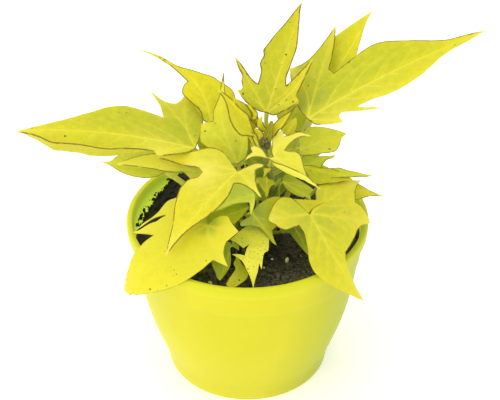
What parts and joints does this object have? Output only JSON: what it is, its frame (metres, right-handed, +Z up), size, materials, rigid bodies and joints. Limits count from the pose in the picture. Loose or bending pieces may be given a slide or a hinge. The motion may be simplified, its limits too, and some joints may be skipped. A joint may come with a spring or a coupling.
{
  "type": "sweet potato vine",
  "caption": "Bushy potted vine with pointed, lobed chartreuse leaves on curved stalks, growing from dark compost in a round, tapered, lime plastic pot with a rolled rim.",
  "frame": {"origin": "centre of the pot's underside, on the surface that it stands on", "axes": "+Z up along the pot's axis; -Y towards the front, where two big leaves hang over the rim; +X to the front view's right"},
  "size_m": [0.24, 0.1331, 0.1992],
  "materials": {
    "lime_plastic": "moulded, satin",
    "compost": "rough, dark peat compost",
    "stem": "fresh green stem, faintly brown at the nodes",
    "leaf_stalk": "fresh pale green",
    "leaf_blade": "soft satin, veined",
    "bud": "dull, dark purplish brown"
  },
  "bodies": {
    "root": {"growing_tip": "bud", "leaf_back_left": "leaf_blade", "leaf_back_right": "leaf_blade", "leaf_behind_top": "leaf_blade", "leaf_browned": "leaf_blade", "leaf_centre_right": "leaf_blade", "leaf_centre_small": "leaf_blade", "leaf_crown": "leaf_blade", "leaf_curled_small": "leaf_blade", "leaf_dark_green": "leaf_blade", "leaf_far_left": "leaf_blade", "leaf_far_right": "leaf_blade", "leaf_front_left": "leaf_blade", "leaf_front_middle": "leaf_blade", "leaf_front_right": "leaf_blade", "leaf_inner_left": "leaf_blade", "leaf_left_low": "leaf_blade", "leaf_left_mid": "leaf_blade", "leaf_low_back_left": "leaf_blade", "leaf_low_back_right": "leaf_blade", "leaf_over_rim": "leaf_blade", "leaf_right_low": "leaf_blade", "leaf_right_middle": "leaf_blade", "leaf_right_oval": "leaf_blade", "leaf_shade_lower": "leaf_blade", "leaf_shade_upper": "leaf_blade", "leaf_top": "leaf_blade", "leaf_under_right": "leaf_blade", "leaf_young_back": "leaf_blade", "leaf_young_narrow": "leaf_blade", "leaf_young_pink": "leaf_blade", "left_stem": "stem", "main_stem": "stem", "pot": "lime_plastic", "side_shoot": "stem", "soil": "compost", "stalk_back_left": "leaf_stalk", "stalk_back_right": "leaf_stalk", "stalk_behind_top": "leaf_stalk", "stalk_centre_right": "leaf_stalk", "stalk_crown": "leaf_stalk", "stalk_curled_small": "leaf_stalk", "stalk_far_left": "leaf_stalk", "stalk_far_right": "leaf_stalk", "stalk_front_left": "leaf_stalk", "stalk_front_middle": "leaf_stalk", "stalk_front_right": "leaf_stalk", "stalk_inner_left": "leaf_stalk", "stalk_left_low": "leaf_stalk", "stalk_left_mid": "leaf_stalk", "stalk_low_back_left": "leaf_stalk", "stalk_low_back_right": "leaf_stalk", "stalk_over_rim": "leaf_stalk", "stalk_right_low": "leaf_stalk", "stalk_right_middle": "leaf_stalk", "stalk_right_oval": "leaf_stalk", "stalk_shade_lower": "leaf_stalk", "stalk_shade_upper": "leaf_stalk", "stalk_top": "leaf_stalk", "stalk_under_right": "leaf_stalk"}
  },
  "joints": []
}
